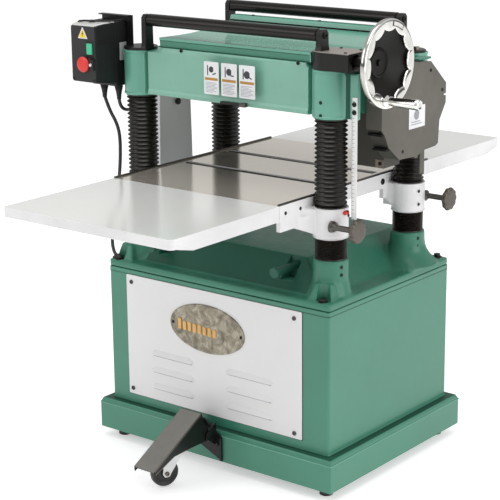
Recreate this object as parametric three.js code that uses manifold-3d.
// Four-post thickness planer, 20-inch class. Millimetres, +Z up, floor at z = 0.
// X runs across the table towards the handwheel, Y runs with the board from infeed to outfeed.
import * as THREE from 'three';
import { mergeVertices } from 'three/addons/utils/BufferGeometryUtils.js';
import { ConvexGeometry } from 'three/addons/geometries/ConvexGeometry.js';
import Module from 'manifold-3d';

const wasm = await Module();
wasm.setup();

// ---- driving dimensions ----
const GAP = 0.3;                 // clearance between pieces that touch
const ROUND = 24;                // facets of an ordinary round
const SHEET = 3;                 // folded sheet-metal thickness
const ORIGIN_SHIFT_X = -60.5;    // puts the origin under the middle of the bounding box

const FOOT = { radius: 17, height: 26, inset: 45 };
const TRAY = { x: 382.4, front: -276.3, back: 320.2, low: 26, high: 109.6, step: 12 };
const CABINET = { x: 357.6, front: -251.2, back: 291.4, low: TRAY.high + GAP, high: 478.1 };
const PANEL = { left: -295, right: 279, low: 135, high: 466, thick: 2, corner: 16 };
const CASTING = { low: CABINET.high + GAP, lip: 497, top: 572, bossTop: 588.7, wall: 9 };

const COLUMN = { x: 301.3, front: -165, back: 177, radius: 32, low: 545, high: 1040 };
const COLLAR = { radius: 43, low: 641.8, high: 716.7, bore: COLUMN.radius + 0.4 };
const BOOT = { outer: 40, inner: 34 };

const TABLE = { x: 264.8, front: -321.4, back: 330.3, top: 740.6, skirt: 38, deepSkirt: 64, plate: 14 };
const WING = { front: -708, back: 708, edge: 24, plate: 9 };
const BED_ROLLER = { radius: 12, length: 480, infeedY: -65, outfeedY: 115, proud: 0.5 };

const HEAD = { low: 933, beamLow: 938, top: 1062, collarTop: 1050, collarRadius: 44 };
const BEAM = { front: -192, frontBack: -150, rearFront: 162, rear: 206 };
const SIDE_WALL = { inner: 270, outer: 300 };
const CUTTER = { y: 28, z: 961, radius: 40 };
const FEED_ROLLER = { radius: 27.5, spread: 85, z: 947.5, journal: 11 };

const CAP = { radius: 45, end: 381, low: HEAD.collarTop + GAP, high: 1094 };
const WHEEL = { y: COLUMN.front, z: 1074, radius: 104, back: 452, face: 466 };
const GRIP = { y: -180, z: 990, radius: 11, length: 92 };
const RETURN_ROLLER = { radius: 15.5, axle: 8, z: 1129 };

const CHAIN_COVER = { inner: 352.3, outer: 398, wall: 4 };
const SCALE = { left: 369, right: 384, front: -178, back: -175.3, low: 697, high: 989 };
const BELT_GUARD = { inner: -358.2, outer: -416, y: 31, low: 215, high: 1021 };
const MOTOR = { y: 28, z: 300, radius: 88 };
const PULLEY = { low: -408, high: -370, motorRadius: 55, cutterRadius: 38 };

const SWITCH = { left: -437, right: -348, front: -284, middle: -209, back: -168, low: 951, high: 1120 };
const GLAND = { leftX: -411, rightX: -360, y: -190, radius: 9, length: 14 };
const LEAD_RADIUS = 4.5;
const PEDAL = { left: -43, right: 23, pivotY: -306, pivotZ: 104 };
const CASTER = { x: -10, swivelY: -418, wheelY: -436, wheelZ: 38.5, radius: 36.5, turn: -22 };
const LIFT_BAR = { left: -212, right: 190, z: 549, radius: 10, front: -249, back: 0 };
const LOCK = { z: 676, frontY: -200, backY: 212, inner: 327, disc: 396, face: 410, radius: 30, flange: 14 };

// ---- materials ----
const surface = (color, roughness, metalness) => (
  new THREE.MeshStandardMaterial({ color, roughness, metalness }));
const paint = (color, roughness = 0.45) => surface(color, roughness, 0.1);
const metal = (color, roughness = 0.3) => surface(color, roughness, 1);
const GREEN = paint(0x5b9a83);
const WHITE = paint(0xe2e2e0, 0.5);
const GREY = paint(0xa0a0a0, 0.5);
const CHARCOAL = paint(0x5f5d58, 0.6);
const BLACK = paint(0x1c1c1b, 0.5);
const RUBBER = paint(0x1b1a17, 0.8);
const PEWTER = paint(0x6e6c6a, 0.4);
const RED = paint(0xd8443c, 0.4);
const LIGHT_GREEN = paint(0x4fc39c, 0.4);
const STEEL = metal(0xb9bab8, 0.25);
const DARK_STEEL = metal(0x55534f, 0.35);
const CHROME = metal(0xe4e4e4, 0.08);
const IRON = metal(0xc9c9c6, 0.3);

// ---- solids ----
function solid(geometry) {
  const bare = geometry.clone();
  bare.deleteAttribute('normal');
  bare.deleteAttribute('uv');
  const merged = mergeVertices(bare, 1e-4);
  const vertProperties = new Float32Array(merged.attributes.position.array);
  const triVerts = new Uint32Array(merged.index.array);
  return new wasm.Manifold(new wasm.Mesh({ numProp: 3, vertProperties, triVerts }));
}

const join = (...parts) => parts.reduce((whole, part) => whole.add(part));
const cut = (whole, ...parts) => parts.reduce((left, part) => left.subtract(part), whole);

function node(name, shape, material) {
  const { vertProperties, triVerts } = shape.getMesh();
  const geometry = new THREE.BufferGeometry();
  geometry.setAttribute('position', new THREE.BufferAttribute(new Float32Array(vertProperties), 3));
  geometry.setIndex(new THREE.BufferAttribute(new Uint32Array(triVerts), 1));
  geometry.computeVertexNormals();
  const mesh = new THREE.Mesh(geometry, material);
  mesh.name = name;
  return mesh;
}

function box([x0, x1], [y0, y1], [z0, z1]) {
  const geometry = new THREE.BoxGeometry(x1 - x0, y1 - y0, z1 - z0);
  return solid(geometry.translate((x0 + x1) / 2, (y0 + y1) / 2, (z0 + z1) / 2));
}

// A straight round along X, Y or Z. centre gives the two other coordinates in X, Y, Z order.
function rod(axis, [from, to], centre, radius, facets = ROUND, endRadius = radius) {
  const geometry = new THREE.CylinderGeometry(endRadius, radius, to - from, facets);
  const middle = (from + to) / 2;
  if (axis === 'x') geometry.rotateZ(-Math.PI / 2).translate(middle, centre[0], centre[1]);
  if (axis === 'y') geometry.translate(centre[0], middle, centre[1]);
  if (axis === 'z') geometry.rotateX(Math.PI / 2).translate(centre[0], centre[1], middle);
  return solid(geometry);
}

// A flat outline swept along X (outline in Y, Z), Y (outline in X, Z) or Z (outline in X, Y).
function slab(axis, [from, to], outline) {
  const corners = () => outline.map(([a, b]) => new THREE.Vector2(a, b));
  const shape = outline instanceof THREE.Shape ? outline : new THREE.Shape(corners());
  const depth = to - from;
  const geometry = new THREE.ExtrudeGeometry(shape, { depth, bevelEnabled: false, curveSegments: 6 });
  const [x, y, z] = [[1, 0, 0], [0, 1, 0], [0, 0, 1]].map((v) => new THREE.Vector3(...v));
  const turn = new THREE.Matrix4();
  if (axis === 'x') turn.makeBasis(y, z, x).setPosition(from, 0, 0);
  if (axis === 'y') turn.makeBasis(x, z, y.clone().negate()).setPosition(0, to, 0);
  if (axis === 'z') turn.makeBasis(x, y, z).setPosition(0, 0, from);
  return solid(geometry.applyMatrix4(turn));
}

function roundedRectangle(x0, x1, y0, y1, corner) {
  const shape = new THREE.Shape();
  shape.moveTo(x0 + corner, y0);
  shape.lineTo(x1 - corner, y0).absarc(x1 - corner, y0 + corner, corner, -Math.PI / 2, 0);
  shape.lineTo(x1, y1 - corner).absarc(x1 - corner, y1 - corner, corner, 0, Math.PI / 2);
  shape.lineTo(x0 + corner, y1).absarc(x0 + corner, y1 - corner, corner, Math.PI / 2, Math.PI);
  shape.lineTo(x0, y0 + corner).absarc(x0 + corner, y0 + corner, corner, Math.PI, Math.PI * 1.5);
  return shape;
}

// A four-sided block whose top rectangle differs from its bottom one.
function taper(bottom, top, [z0, z1]) {
  const corners = ([x0, x1, y0, y1], z) => [[x0, y0], [x1, y0], [x1, y1], [x0, y1]]
    .map(([x, y]) => new THREE.Vector3(x, y, z));
  return solid(new ConvexGeometry([...corners(bottom, z0), ...corners(top, z1)]));
}

// A turned profile of [radius, height] points, its axis along X through (y, z).
function turnedAlongX(profile, y, z, facets) {
  const points = profile.map(([radius, along]) => new THREE.Vector2(radius, along));
  const geometry = new THREE.LatheGeometry(points, facets);
  return solid(geometry.rotateZ(-Math.PI / 2).translate(0, y, z));
}

const columnPlaces = [
  ['front_left', -COLUMN.x, COLUMN.front],
  ['front_right', COLUMN.x, COLUMN.front],
  ['rear_left', -COLUMN.x, COLUMN.back],
  ['rear_right', COLUMN.x, COLUMN.back],
];

// ---- base ----
function baseTray() {
  const { x, front, back, low, high, step } = TRAY;
  const outer = join(
    box([-x, x], [front, back], [low, high - step]),
    taper([-x, x, front, back], [-x + 6, x - 6, front + 6, back - 6], [high - step, high]),
  );
  const roof = high - step - SHEET;
  const inside = box([-x + SHEET, x - SHEET], [front + SHEET, back - SHEET], [low - 1, roof]);
  const window = box([-330, 330], [front + 55, back - 60], [low, high + 1]);
  return cut(outer, inside, window);
}

function foot(x, y) {
  return join(
    rod('z', [0, 14], [x, y], FOOT.radius, 16),
    rod('z', [13, FOOT.height - GAP], [x, y], 10, 12),
  );
}

function cabinetShell() {
  const { x, front, back, low, high } = CABINET;
  const outer = slab('z', [low, high], roundedRectangle(-x, x, front, back, 8));
  const inside = box([-x + SHEET, x - SHEET], [front + SHEET, back - SHEET], [low - 1, high + 1]);
  const frame = 25;
  const frontWindow = box(
    [PANEL.left + frame, PANEL.right - frame],
    [front - 1, front + 5],
    [PANEL.low + frame, PANEL.high - frame],
  );
  const shaftHole = rod('x', [-x - 1, -x + 5], [MOTOR.y, MOTOR.z], 20, 16);
  return cut(outer, inside, frontWindow, shaftHole);
}

function frontPanel() {
  const { left, right, low, high, thick, corner } = PANEL;
  const face = CABINET.front - GAP;
  return slab('y', [face - thick, face], roundedRectangle(left, right, low, high, corner));
}

function motor() {
  const at = [MOTOR.y, MOTOR.z];
  const bed = CABINET.low + 45;
  return join(
    rod('x', [-300, -60], at, MOTOR.radius, 20),
    rod('x', [-369.7, -299], at, 14, 12),
    rod('x', [-61, -20], at, 74, 16),
    box([-270, -90], [MOTOR.y - 70, MOTOR.y + 70], [bed, MOTOR.z - 60]),
    box([-350, 0], [CABINET.front + SHEET + GAP, CABINET.back - SHEET - GAP], [bed - 6, bed]),
  );
}

function baseCasting() {
  const { low, lip, top, bossTop, wall } = CASTING;
  const { x, front, back } = CABINET;
  const footprint = [-310, 310, -215, 284];
  const crown = [-222, 222, -150, 255];
  const inset = ([x0, x1, y0, y1], by) => [x0 + by, x1 - by, y0 + by, y1 - by];
  const body = join(
    slab('z', [low, lip], roundedRectangle(-x, x, front, back, 8)),
    taper(footprint, crown, [lip - 1, top]),
    ...columnPlaces.map(([, cx, cy]) => join(
      rod('z', [lip - 1, 540], [cx, cy], 54, ROUND, 44),
      rod('z', [539, bossTop], [cx, cy], 44),
    )),
  );
  const hollow = join(
    taper(inset(footprint, wall), inset(crown, wall), [lip - wall, top - wall]),
    box([-x + 12, x - 12], [front + 12, back - 12], [low - 1, lip - wall]),
    taper(inset(footprint, wall + 1), inset(footprint, wall), [lip - wall - 1, lip - wall + 1]),
  );
  const bores = columnPlaces.map(([, cx, cy]) => (
    rod('z', [COLUMN.low - GAP, bossTop + 1], [cx, cy], COLUMN.radius + GAP)));
  const barHoles = [LIFT_BAR.left, LIFT_BAR.right].map((barX) => (
    rod('y', [-300, -100], [barX, LIFT_BAR.z], LIFT_BAR.radius + 0.5, 16)));
  return cut(body, hollow, ...bores, ...barHoles);
}

function liftBar(x) {
  const at = [x, LIFT_BAR.z];
  return join(
    rod('y', [LIFT_BAR.front + 4, LIFT_BAR.back], at, LIFT_BAR.radius, 16),
    rod('y', [LIFT_BAR.front, LIFT_BAR.front + 5], at, LIFT_BAR.radius + 4, 16),
  );
}

// ---- columns and boots ----
const column = (x, y) => rod('z', [COLUMN.low, COLUMN.high], [x, y], COLUMN.radius);

function boot(x, y, low, high) {
  return cut(rod('z', [low, high], [x, y], BOOT.outer), rod('z', [low - 1, high + 1], [x, y], BOOT.inner));
}

// ---- table ----
function mainTable() {
  const { x, front, back, top, skirt, deepSkirt, plate } = TABLE;
  const underside = top - plate;
  const block = box([-x, x], [front, back], [top - skirt, top]);
  const pocket = taper([-x + 14, x - 14, front + 14, back - 14], [-x + 18, x - 18, front + 18, back - 18],
    [top - skirt - 1, underside]);
  const spine = box([-x + 10, x - 10], [-6, 6], [top - skirt, underside + 1]);
  const crossRibs = [COLUMN.front, COLUMN.back].map((y) => (
    box([-x + 10, x - 10], [y - 10, y + 10], [top - skirt, underside + 1])));
  const arms = columnPlaces.map(([, cx, cy]) => {
    const side = Math.sign(cx);
    const ordered = (a, b) => (a < b ? [a, b] : [b, a]);
    const reach = ordered(side * (x - 16), side * COLUMN.x);
    const edge = ordered(side * (x - 12), side * x);
    return join(
      box(edge, cy < 0 ? [-318, cy + 60] : [cy - 60, cy + 60], [top - deepSkirt, top - skirt + 1]),
      rod('z', [COLLAR.low, COLLAR.high], [cx, cy], COLLAR.radius),
      box(reach, [cy - 36, cy + 36], [COLLAR.low + 14, COLLAR.high]),
    );
  });
  const body = join(cut(block, pocket), spine, ...crossRibs, ...arms);
  const bores = columnPlaces.map(([, cx, cy]) => (
    rod('z', [COLLAR.low - 1, top + 1], [cx, cy], COLLAR.bore)));
  const notches = columnPlaces.map(([, cx, cy]) => (
    rod('z', [COLLAR.high, top + 1], [cx, cy], BOOT.outer + 4)));
  const slots = [BED_ROLLER.infeedY, BED_ROLLER.outfeedY].map((y) => {
    const half = BED_ROLLER.length / 2 + 1;
    const reach = BED_ROLLER.radius + 1;
    return box([-half, half], [y - reach, y + reach], [top - skirt - 1, top + 1]);
  });
  const bearings = [BED_ROLLER.infeedY, BED_ROLLER.outfeedY].flatMap((y) => [-1, 1].map((side) => {
    const span = [side * 226, side * 250].sort((a, b) => a - b);
    return rod('x', span, [y, top + BED_ROLLER.proud - BED_ROLLER.radius], 6.3, 12);
  }));
  const spotFaces = [[LOCK.frontY, LOCK.inner], [LOCK.backY, LOCK.inner + 5]].map(([y, from]) => (
    rod('x', [from - GAP, from + 40], [y, LOCK.z], LOCK.flange + 0.5, 16)));
  return cut(body, ...bores, ...notches, ...slots, ...bearings, ...spotFaces);
}

function bedRoller(y) {
  const at = [y, TABLE.top + BED_ROLLER.proud - BED_ROLLER.radius];
  const half = BED_ROLLER.length / 2;
  return join(
    rod('x', [-half, half], at, BED_ROLLER.radius, 20),
    rod('x', [-half - 8, half + 8], at, 6, 12),
  );
}

function wing(from, to) {
  const { x, top, skirt } = TABLE;
  const outward = from < 0 ? from : to;
  const inward = from < 0 ? to : from;
  const deep = (y) => top - (Math.abs(y) > 650 ? WING.edge : skirt);
  const toward = Math.sign(outward);
  const profile = [
    [outward, top], [outward, deep(outward)], [outward - toward * 40, deep(outward)],
    [outward - toward * 75, top - skirt], [inward, top - skirt], [inward, top],
  ];
  const body = slab('x', [-x, x], profile);
  const low = top - skirt - 1;
  const roof = top - WING.plate;
  const bay = (y0, y1) => taper([-x + 12, x - 12, y0, y1], [-x + 15, x - 15, y0 + 3, y1 - 3], [low, roof]);
  const ends = [Math.min(from, to) + 12, Math.max(from, to) - 12];
  const middle = (ends[0] + ends[1]) / 2;
  return cut(body, bay(ends[0], middle - 5), bay(middle + 5, ends[1]));
}

function lockKnob(y) {
  const { z, inner, disc, face, radius } = LOCK;
  const start = y < 0 ? inner : inner + 5;
  return join(
    rod('x', [start, start + 5], [y, z], LOCK.flange, 16),
    rod('x', [start + 4, disc + 1], [y, z], 7.5, 12),
    rod('x', [disc, face], [y, z], radius, ROUND),
  );
}

// ---- head ----
function headstockCasting() {
  const { low, beamLow, top, collarTop, collarRadius } = HEAD;
  const wallSpan = [BEAM.frontBack - 4, BEAM.rearFront + 4];
  const body = join(
    box([-SIDE_WALL.outer, SIDE_WALL.outer], [BEAM.front, BEAM.frontBack], [beamLow, collarTop]),
    box([-215, 250], [BEAM.front, BEAM.frontBack], [collarTop - 1, top]),
    box([-SIDE_WALL.outer, SIDE_WALL.outer], [BEAM.rearFront, BEAM.rear], [beamLow, collarTop]),
    box([-SIDE_WALL.outer, -SIDE_WALL.inner], wallSpan, [beamLow, collarTop]),
    box([SIDE_WALL.inner, SIDE_WALL.outer], wallSpan, [beamLow, collarTop]),
    box([SIDE_WALL.inner, CHAIN_COVER.inner - GAP], [-95, 130], [936, 1046]),
    box([340, SCALE.right + 2], [SCALE.back + GAP, -165], [935, 1044]),
    box([-SIDE_WALL.outer, -190], wallSpan, [collarTop - 10, collarTop]),
    ...columnPlaces.map(([, x, y]) => rod('z', [low, collarTop], [x, y], collarRadius)),
  );
  const bores = columnPlaces.map(([, x, y]) => (
    rod('z', [low - 1, COLUMN.high + GAP], [x, y], COLUMN.radius + GAP)));
  const rollerBore = (side) => {
    const at = [CUTTER.y + side * FEED_ROLLER.spread, FEED_ROLLER.z];
    return rod('x', [-292, 360], at, FEED_ROLLER.journal + 0.5, 12);
  };
  const bearings = [
    rod('y', [-96, -60], [340, 952], 5.5, 12),
    rod('x', [-310, CHAIN_COVER.inner - 30], [CUTTER.y, CUTTER.z], 20.5, 16),
    rollerBore(-1),
    rollerBore(1),
  ];
  return cut(body, ...bores, ...bearings);
}

function topCover() {
  const { top } = HEAD;
  const curve = (inset) => {
    const shape = new THREE.Shape();
    shape.moveTo(-190 + inset, top + GAP - (inset ? 1 : 0));
    shape.lineTo(-190 + inset, 1087 - inset);
    shape.quadraticCurveTo(20, 1084 - inset, 112, 1116 - inset);
    shape.lineTo(128 - inset, 1116 - inset);
    shape.lineTo(150 - inset, top + GAP - (inset ? 1 : 0));
    return shape;
  };
  const [left, right] = [-215, 318];
  const shell = cut(slab('x', [left, right], curve(0)), slab('x', [left + 4, right - 4], curve(4)));
  const capNotch = join(
    rod('z', [top - 1, 1130], [COLUMN.x, COLUMN.front], CAP.radius + 3),
    box([COLUMN.x, right + 5], [-200, COLUMN.front + CAP.radius + 3], [top - 1, 1130]),
  );
  return cut(shell, capNotch);
}

function elevationGearbox() {
  const at = [COLUMN.x, COLUMN.front];
  const axle = [WHEEL.y, WHEEL.z];
  return join(
    rod('z', [CAP.low, CAP.high], at, CAP.radius),
    box([COLUMN.x, CAP.end], [COLUMN.front - CAP.radius, COLUMN.front + CAP.radius], [CAP.low, CAP.high]),
    rod('x', [COLUMN.x, 392], axle, 18, 16),
    rod('x', [391, WHEEL.back - 28 - GAP], axle, 9, 12),
  );
}

// Flat ring, dished black centre and hub.
function handwheel() {
  const { y, z, radius, back, face } = WHEEL;
  return turnedAlongX([
    [0, back - 28], [20, back - 28], [20, back - 18], [60, back - 10], [78, back - 1], [radius - 4, back],
    [radius, back + 4], [radius, face - 3], [radius - 3, face], [76, face], [72, face - 6],
    [58, back - 1], [24, back - 10], [20, back - 2], [0, back - 2],
  ], y, z, 36);
}

function handwheelGrip() {
  const { y, z, radius, length } = GRIP;
  const start = WHEEL.face + GAP;
  return join(
    rod('x', [start, start + 6], [y, z], radius + 3, 16),
    rod('x', [start + 5, start + length], [y, z], radius, 16),
  );
}

function cutterhead() {
  const at = [CUTTER.y, CUTTER.z];
  return join(
    rod('x', [-255, 255], at, CUTTER.radius, ROUND),
    rod('x', [-371, 318], at, 20, 16),
    rod('x', [PULLEY.low, PULLEY.high], at, PULLEY.cutterRadius, ROUND),
  );
}

function feedRoller(side) {
  const at = [CUTTER.y + side * FEED_ROLLER.spread, FEED_ROLLER.z];
  return join(
    rod('x', [-260, 260], at, FEED_ROLLER.radius, 20),
    rod('x', [-288, 366], at, FEED_ROLLER.journal, 12),
    rod('x', [357, 364], at, 30, 20),
  );
}

function motorPulley() {
  return rod('x', [PULLEY.low, PULLEY.high], [MOTOR.y, MOTOR.z], PULLEY.motorRadius, ROUND);
}

// The three V-belts, as one band round both pulleys.
function driveBelts() {
  const loop = (extra) => {
    const shape = new THREE.Shape();
    const [low, high] = [PULLEY.motorRadius + extra, PULLEY.cutterRadius + extra];
    shape.absarc(CUTTER.y, CUTTER.z, high, 0, Math.PI, false);
    shape.absarc(MOTOR.y, MOTOR.z, low, Math.PI, Math.PI * 2, false);
    return shape;
  };
  const span = [PULLEY.low + 3, PULLEY.high - 3];
  return cut(slab('x', span, loop(9)), slab('x', [span[0] - 1, span[1] + 1], loop(0.5)));
}

function beltGuard() {
  const { inner, outer, y, low, high } = BELT_GUARD;
  const outline = (inset) => {
    const shape = new THREE.Shape();
    const [topHalf, bottomHalf] = [60 - inset, 78 - inset];
    shape.absarc(y, high - topHalf - inset, topHalf, 0, Math.PI, false);
    shape.absarc(y, low + bottomHalf + inset, bottomHalf, Math.PI, Math.PI * 2, false);
    return shape;
  };
  const inside = slab('x', [outer + SHEET, inner - SHEET], outline(SHEET));
  return cut(slab('x', [outer, inner], outline(0)), inside,
    rod('x', [inner - 5, inner + 1], [CUTTER.y, CUTTER.z], 24, 16),
    rod('x', [inner - 5, inner + 1], [MOTOR.y, MOTOR.z], 20, 16),
  );
}

function pressureBar() {
  const rear = CUTTER.y + 48;
  return join(
    box([-255, 255], [rear, rear + 6], [922, 1015]),
    box([-255, 255], [rear - 14, rear + 6], [1008, 1020]),
    box([-269.7, 269.7], [rear, rear + 6], [1010, 1020]),
  );
}

function chainCover() {
  const { inner, outer, wall } = CHAIN_COVER;
  const outline = [
    [-94, 900], [-80, 884], [-62, 852], [-16, 816], [64, 812], [98, 822], [148, 824],
    [161, 829], [166, 888], [194, 928], [194, 978], [122, 1040], [-60, 1040], [-94, 1010],
  ];
  const middle = [45, 925];
  const shrink = (by) => outline.map(([y, z]) => {
    const away = Math.hypot(y - middle[0], z - middle[1]);
    const scale = (away - by) / away;
    return [middle[0] + (y - middle[0]) * scale, middle[1] + (z - middle[1]) * scale];
  });
  return cut(slab('x', [inner, outer], outline), slab('x', [inner - 1, outer - wall], shrink(wall)));
}

const sideGuard = () => box([268.5, 350], [-10, 60], [787, 935.7]);

function depthScale() {
  const { left, right, front, back, low, high } = SCALE;
  return box([left, right], [front, back], [low, high]);
}

function feedRateKnob() {
  const at = [340, 952];
  return join(
    rod('y', [-121, -109], at, 11, 16),
    rod('y', [-110, -70], at, 5, 12),
  );
}

// Two brackets on the column collars with a fixed axle between them.
function rollerStand(y, left, right, leftBase, rightBase) {
  const { z, axle } = RETURN_ROLLER;
  const bracket = ([x0, x1], base) => slab('x', [x0, x1], [
    [y - 18, base], [y + 18, base], [y + 15, base + 12], [y + 14, z + 6], [y + 7, z + 14],
    [y - 7, z + 14], [y - 14, z + 6], [y - 15, base + 12],
  ]);
  const fixedAxle = rod('x', [left[0] + 4, right[1] - 4], [y, z], axle, 12);
  return join(bracket(left, leftBase), bracket(right, rightBase), fixedAxle);
}

function returnRoller(y, left, right) {
  const at = [y, RETURN_ROLLER.z];
  return cut(
    rod('x', [left + 1, right - 1], at, RETURN_ROLLER.radius, 20),
    rod('x', [left, right], at, RETURN_ROLLER.axle + 0.5, 12),
  );
}

// ---- switch ----
function switchBracket() {
  return join(
    rod('z', [HEAD.collarTop + GAP, HEAD.collarTop + 7], [-COLUMN.x, COLUMN.front], 44),
    box([-434, -328], [-166.5, -162.5], [HEAD.collarTop + 1, 1133]),
    box([-434, -334], [-180, -162.5], [1130, 1133]),
  );
}

function switchBox() {
  const { left, right, front, middle, back, low, high } = SWITCH;
  const nose = [left + 2, right - 2, low + 18, high - 3];
  const root = [left, right, low + 8, high];
  const corners = ([x0, x1, z0, z1], y) => [[x0, z0], [x1, z0], [x1, z1], [x0, z1]]
    .map(([x, z]) => new THREE.Vector3(x, y, z));
  const cover = solid(new ConvexGeometry([...corners(nose, front), ...corners(root, middle + 1)]));
  const glands = [GLAND.leftX, GLAND.rightX].map((x) => (
    rod('z', [low - GLAND.length, low + 1], [x, GLAND.y], GLAND.radius, 12)));
  const body = join(cover, box([left + 1, right - 1], [middle, back], [low, high - 1]), ...glands);
  const wells = [
    box([-379.5, -358.5], [front - 1, front + 9], [1040, 1072]),
    rod('y', [front - 1, front + 9], [-387, 1016], 16, 16),
  ];
  return cut(body, ...wells);
}

const startButton = () => box([-378, -360], [SWITCH.front - 4, SWITCH.front + 3], [1042, 1070]);

function stopButton() {
  const at = [-387, 1016];
  return join(
    rod('y', [SWITCH.front - 13, SWITCH.front - 5], at, 20, 20),
    rod('y', [SWITCH.front - 6, SWITCH.front + 3], at, 14, 16),
  );
}

// ---- leads ----
const motorLeadRoute = [
  [-411, -190, 936.5], [-411, -190, 920], [-403, -190, 900], [-390, -190, 876], [-376, -190, 856],
  [-365, -191, 834], [-359, -193, 808], [-357, -195, 780], [-357, -197, 750], [-358, -200, 718],
  [-360, -204, 680], [-363, -209, 640], [-366, -215, 600], [-368, -221, 565], [-367, -226, 540],
  [-362, -229, 521], [-354, -231, 508], [-343, -232, 501],
];
const switchLeadRoute = [
  [-360, -190, 936.5], [-360, -190, 918], [-360, -187, 903], [-361, -178, 891], [-364, -164, 884],
  [-369, -146, 880], [-375, -125, 877], [-381, -100, 875], [-385, -72, 874], [-386, -48, 874],
  [-386, -34, 874],
];

function lead(route, steps) {
  const points = route.map((point) => new THREE.Vector3(...point));
  const path = new THREE.CatmullRomCurve3(points, false, 'centripetal');
  const section = new THREE.Shape().absarc(0, 0, LEAD_RADIUS, 0, Math.PI * 2, false);
  const sides = new THREE.Shape(section.getSpacedPoints(8).slice(0, 8));
  return solid(new THREE.ExtrudeGeometry(sides, { steps, extrudePath: path, bevelEnabled: false }));
}

// ---- pedal and caster ----
function pedalBracket() {
  const front = TRAY.front - GAP;
  const plate = slab('y', [front - 6, front], [
    [-40, 30], [44, 30], [44, 94], [-14, 136], [-40, 136],
  ]);
  const lug = ([x0, x1]) => slab('x', [x0, x1], [
    [front - 5, 70], [PEDAL.pivotY, 88], [PEDAL.pivotY - 14, 98], [PEDAL.pivotY - 14, 112],
    [PEDAL.pivotY, 122], [front - 5, 132],
  ]);
  const lugs = [[PEDAL.left - 5.3, PEDAL.left - GAP - 1], [PEDAL.right + GAP + 1, PEDAL.right + 5.3]];
  const strap = box([PEDAL.left - 5.3, -39], [front - 6, front], [70, 132]);
  const bolts = [[-24, 98], [29, 75]].map((at) => rod('y', [front - 10, front - 5], at, 7, 8));
  const body = join(plate, strap, ...bolts, ...lugs.map(lug));
  return cut(body, rod('x', [PEDAL.left - 10, PEDAL.right + 10], [PEDAL.pivotY, PEDAL.pivotZ], 5.4, 12));
}

function pedal() {
  const { left, right, pivotY, pivotZ } = PEDAL;
  const plate = slab('x', [left, right], [[-332, 172], [-335, 172], [-518, 74], [-515, 70], [-332, 168]]);
  const flange = (x0) => slab('x', [x0, x0 + 3], [
    [-332, 171], [-516, 72.5], [-516, 62], [-440, 90], [-380, 92], [pivotY - 10, 92], [pivotY + 10, 96],
    [pivotY + 10, 112], [pivotY, 118], [-326, 150],
  ]);
  const casterSeat = box([left, right], [-446, -390], [92, 97]);
  const pin = rod('x', [left - 5, right + 5], [pivotY, pivotZ], 5, 12);
  return join(plate, flange(left), flange(right - 3), casterSeat, pin);
}

// Turns a shape with the caster about its swivel.
function swivelled(shape) {
  const { x, swivelY, turn } = CASTER;
  return shape.translate([-x, -swivelY, 0]).rotate([0, 0, turn]).translate([x, swivelY, 0]);
}

function casterFork() {
  const { x, swivelY, wheelY, wheelZ } = CASTER;
  const half = 24;
  const top = 92 - GAP;
  const cheek = (x0) => slab('x', [x0, x0 + 3], [
    [swivelY + half, top - 10], [swivelY - half, top - 10], [wheelY - 12, wheelZ],
    [wheelY - 6, wheelZ - 9], [wheelY + 6, wheelZ - 9], [wheelY + 12, wheelZ],
  ]);
  return swivelled(join(
    rod('z', [top - 7, top], [x, swivelY], 22, 20),
    box([x - 17, x + 17], [swivelY - half, swivelY + half], [top - 11, top - 6]),
    cheek(x - 17),
    cheek(x + 14),
    rod('x', [x - 18, x + 18], [wheelY, wheelZ], 4, 12),
  ));
}

function casterWheel() {
  const { x, wheelY, wheelZ, radius } = CASTER;
  const at = [wheelY, wheelZ];
  const tyre = rod('x', [x - 11, x + 11], at, radius, 28);
  const hub = rod('x', [x - 13.5, x + 13.5], at, 11, 16);
  return swivelled(cut(join(tyre, hub), rod('x', [x - 20, x + 20], at, 4.4, 12)));
}

// ---- assembly ----
const planer = new THREE.Group();
planer.position.x = ORIGIN_SHIFT_X;
const place = (name, shape, material) => planer.add(node(name, shape, material));

place('base_tray', baseTray(), GREEN);
place('cabinet_shell', cabinetShell(), GREEN);
place('front_panel', frontPanel(), WHITE);
place('motor', motor(), PEWTER);
place('base_casting', baseCasting(), GREEN);
place('lifting_bar_left', liftBar(LIFT_BAR.left), GREEN);
place('lifting_bar_right', liftBar(LIFT_BAR.right), GREEN);

const footX = TRAY.x - FOOT.inset;
const footPlaces = [
  ['front_left', -footX, TRAY.front + FOOT.inset],
  ['front_right', footX, TRAY.front + FOOT.inset],
  ['rear_left', -footX, TRAY.back - FOOT.inset],
  ['rear_right', footX, TRAY.back - FOOT.inset],
];
for (const [corner, x, y] of footPlaces) place(`foot_${corner}`, foot(x, y), RUBBER);

for (const [corner, x, y] of columnPlaces) {
  place(`column_${corner}`, column(x, y), STEEL);
  place(`upper_boot_${corner}`, boot(x, y, COLLAR.high + GAP, HEAD.low - GAP), RUBBER);
  place(`lower_boot_${corner}`, boot(x, y, CASTING.bossTop + GAP, COLLAR.low - GAP), RUBBER);
}

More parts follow.
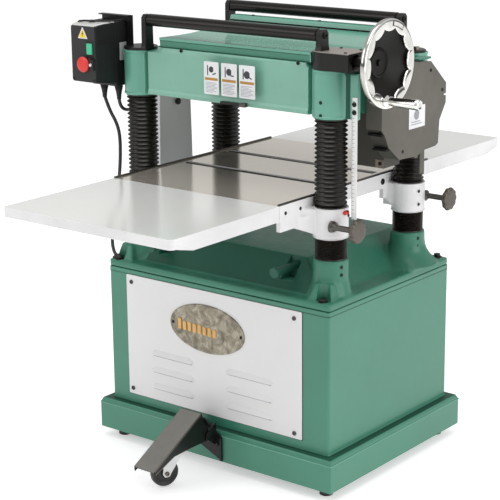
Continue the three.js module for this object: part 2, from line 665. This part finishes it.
place('main_table', mainTable(), IRON);
place('infeed_wing', wing(WING.front, TABLE.front - GAP), IRON);
place('outfeed_wing', wing(TABLE.back + GAP, WING.back), IRON);
place('infeed_bed_roller', bedRoller(BED_ROLLER.infeedY), STEEL);
place('outfeed_bed_roller', bedRoller(BED_ROLLER.outfeedY), STEEL);
place('front_lock_knob', lockKnob(LOCK.frontY), DARK_STEEL);
place('rear_lock_knob', lockKnob(LOCK.backY), DARK_STEEL);

place('headstock_casting', headstockCasting(), GREEN);
place('top_cover', topCover(), GREEN);
place('elevation_gearbox', elevationGearbox(), BLACK);
place('handwheel', handwheel(), CHROME);
place('handwheel_grip', handwheelGrip(), CHROME);
place('cutterhead', cutterhead(), STEEL);
place('infeed_roller', feedRoller(-1), DARK_STEEL);
place('outfeed_roller', feedRoller(1), DARK_STEEL);
place('pressure_bar', pressureBar(), DARK_STEEL);
place('motor_pulley', motorPulley(), DARK_STEEL);
place('drive_belts', driveBelts(), RUBBER);
place('belt_guard', beltGuard(), GREY);
place('chain_cover', chainCover(), CHARCOAL);
place('side_guard', sideGuard(), CHARCOAL);
place('depth_scale', depthScale(), WHITE);
place('feed_rate_knob', feedRateKnob(), RED);

const frontSpan = { left: [-264, -250], right: [283, 299] };
const rearSpan = { left: [-291, -277], right: [262, 278] };
const frontBases = [HEAD.collarTop + 7 + GAP, CAP.high + GAP];
const rearBase = HEAD.collarTop + GAP;
const frontStand = rollerStand(-188, frontSpan.left, frontSpan.right, ...frontBases);
const rearStand = rollerStand(182, rearSpan.left, rearSpan.right, rearBase, rearBase);
place('front_roller_stand', frontStand, BLACK);
place('rear_roller_stand', rearStand, BLACK);
place('front_return_roller', returnRoller(-188, frontSpan.left[1], frontSpan.right[0]), DARK_STEEL);
place('rear_return_roller', returnRoller(182, rearSpan.left[1], rearSpan.right[0]), DARK_STEEL);

place('switch_bracket', switchBracket(), BLACK);
place('switch_box', switchBox(), BLACK);
place('start_button', startButton(), LIGHT_GREEN);
place('stop_button', stopButton(), RED);
place('motor_lead', lead(motorLeadRoute, 28), RUBBER);
place('switch_lead', lead(switchLeadRoute, 14), RUBBER);

place('pedal_bracket', pedalBracket(), BLACK);
place('pedal', pedal(), BLACK);
place('caster_fork', casterFork(), STEEL);
place('caster_wheel', casterWheel(), RUBBER);

export default planer;
